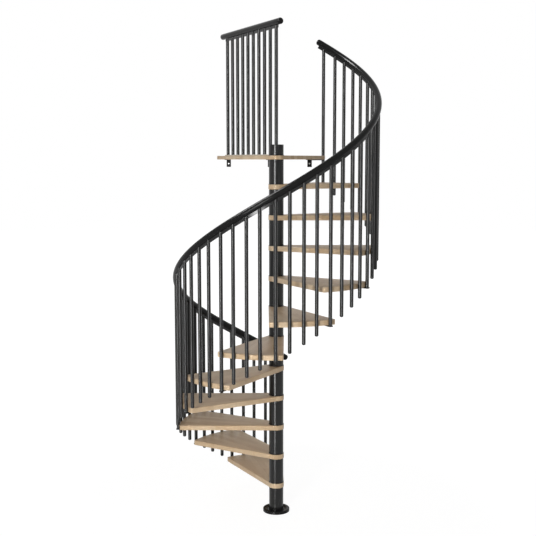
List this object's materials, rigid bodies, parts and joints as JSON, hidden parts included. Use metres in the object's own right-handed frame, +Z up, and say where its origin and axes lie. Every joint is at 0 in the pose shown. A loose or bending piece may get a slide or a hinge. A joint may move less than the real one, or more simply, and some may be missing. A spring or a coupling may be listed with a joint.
{
  "type": "spiral staircase",
  "caption": "Spiral staircase with wedge-shaped wooden treads on a central steel column, a landing, round balusters and a helical handrail.",
  "frame": {"origin": "centre of the base plate's underside, on the floor", "axes": "+Z up along the column; the first tread starts at +Y and the stair rises counter-clockwise seen from above"},
  "size_m": [1.5221, 1.6345, 3.6612],
  "materials": {
    "beech": "clear lacquered edge-glued beech staves",
    "pale_strip": "clear lacquered pale beech",
    "black_steel": "black satin powder coat",
    "black_plastic": "black satin plastic",
    "zinc_steel": "zinc plated"
  },
  "bodies": {
    "root": {"baluster_feet": "black_steel", "balusters_01": "black_steel", "balusters_02": "black_steel", "balusters_03": "black_steel", "balusters_04": "black_steel", "balusters_05": "black_steel", "balusters_06": "black_steel", "balusters_07": "black_steel", "balusters_08": "black_steel", "balusters_09": "black_steel", "balusters_10": "black_steel", "balusters_11": "black_steel", "base_cover": "black_steel", "base_plate": "black_steel", "center_pole": "zinc_steel", "column_foot": "black_steel", "column_head": "black_steel", "column_spacers": "black_steel", "handrail": "black_plastic", "handrail_bar": "black_steel", "handrail_caps": "black_plastic", "landing": "beech", "landing_balusters": "black_steel", "landing_brackets": "black_steel", "landing_corner_arm": "black_steel", "landing_rail": "black_plastic", "landing_rail_bar": "black_steel", "landing_rail_caps": "black_plastic", "landing_strip": "pale_strip", "start_baluster": "black_steel", "tread_01": "beech", "tread_02": "beech", "tread_03": "beech", "tread_04": "beech", "tread_05": "beech", "tread_06": "beech", "tread_07": "beech", "tread_08": "beech", "tread_09": "beech", "tread_10": "beech", "tread_11": "beech"}
  },
  "joints": []
}
